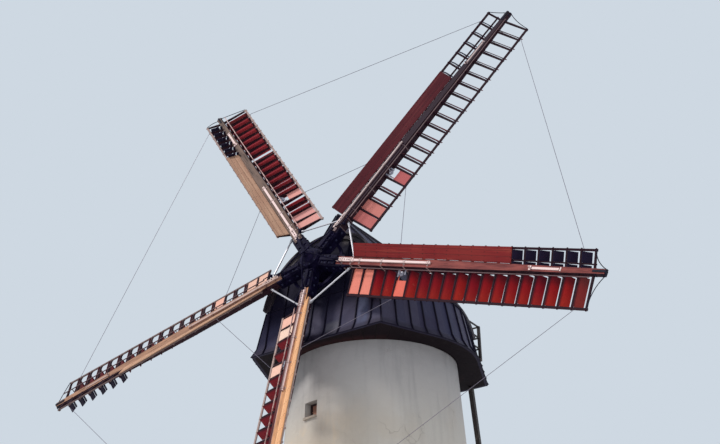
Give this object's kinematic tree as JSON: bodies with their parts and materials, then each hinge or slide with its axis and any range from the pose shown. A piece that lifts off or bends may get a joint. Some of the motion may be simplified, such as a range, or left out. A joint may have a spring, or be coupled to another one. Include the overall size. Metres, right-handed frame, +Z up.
{
  "type": "traditional tower windmill",
  "caption": "Tower windmill with a tapered limewashed tower, a turning boat-shaped cap with a rear gallery and twisted louvred sails on a tilted windshaft.",
  "frame": {"origin": "centre of the tower's flat base, on the ground", "axes": "+Z up the tower's axis; -Y is the side that the sails face at rest"},
  "size_m": [18.1463, 13.3748, 19.9049],
  "materials": {
    "limewash": "limewashed render",
    "floor_stone": "flagstones",
    "floor_boards": "plain boards",
    "joinery": "brown paint, weathered",
    "window_glass": "old glass",
    "dark_timber": "tarred",
    "cap_sheet": "dark standing seam sheet",
    "soffit_boards": "stained boards",
    "black_iron": "black paint",
    "grey_iron": "pale grey",
    "stock_timber": "dark stain",
    "frame_timber": "worn paint",
    "board_timber": "weathered red stain",
    "shutter_red": "red paint, faded",
    "cream_paint": "cream paint"
  },
  "bodies": {
    "tower": {"tower_wall_1": "limewash", "tower_wall_2": "limewash", "tower_wall_3": "limewash", "tower_wall_4": "limewash", "tower_wall_5": "limewash", "tower_wall_6": "limewash", "ground_floor": "floor_stone", "upper_floors": "floor_boards", "window_frames": "joinery", "window_panes": "window_glass", "door_frame": "joinery", "door_leaf": "joinery", "curb": "dark_timber"},
    "cap": {"cap_front_wall": "cap_sheet", "cap_rear_wall": "cap_sheet", "cap_right_wall": "cap_sheet", "cap_left_wall": "cap_sheet", "cap_skirt": "cap_sheet", "cap_soffit": "soffit_boards", "cap_roof_right": "cap_sheet", "cap_roof_left": "cap_sheet", "gable_boards": "dark_timber", "cap_ring": "dark_timber", "cap_timbers": "dark_timber", "neck_bearing": "dark_timber", "tail_bearing": "dark_timber", "gallery_deck": "dark_timber", "gallery_railing": "dark_timber", "tail_pole": "dark_timber"},
    "sails": {"windshaft": "black_iron", "iron_cross": "black_iron", "sail_stocks": "stock_timber", "leading_boards": "board_timber", "clamp_bars": "cream_paint", "shutter_rods": "grey_iron", "tip_irons": "black_iron", "tie_rods": "grey_iron", "stay_wires": "grey_iron", "sail_1_frame": "frame_timber", "sail_1_shutters": "shutter_red", "sail_2_frame": "frame_timber", "sail_2_shutters": "shutter_red", "sail_3_frame": "frame_timber", "sail_3_shutters": "shutter_red", "sail_4_frame": "frame_timber", "sail_4_shutters": "shutter_red", "sail_5_frame": "frame_timber", "sail_5_shutters": "shutter_red"}
  },
  "joints": [
    {"name": "cap_turn", "type": "hinge", "parent": "tower", "child": "cap", "pos_m": [0, 0, 9.8], "axis": [0, 0, 1], "continuous": true},
    {"name": "sails_turn", "type": "hinge", "parent": "cap", "child": "sails", "pos_m": [0, -2.981, 12], "axis": [0, -0.9714, 0.2375], "continuous": true}
  ]
}
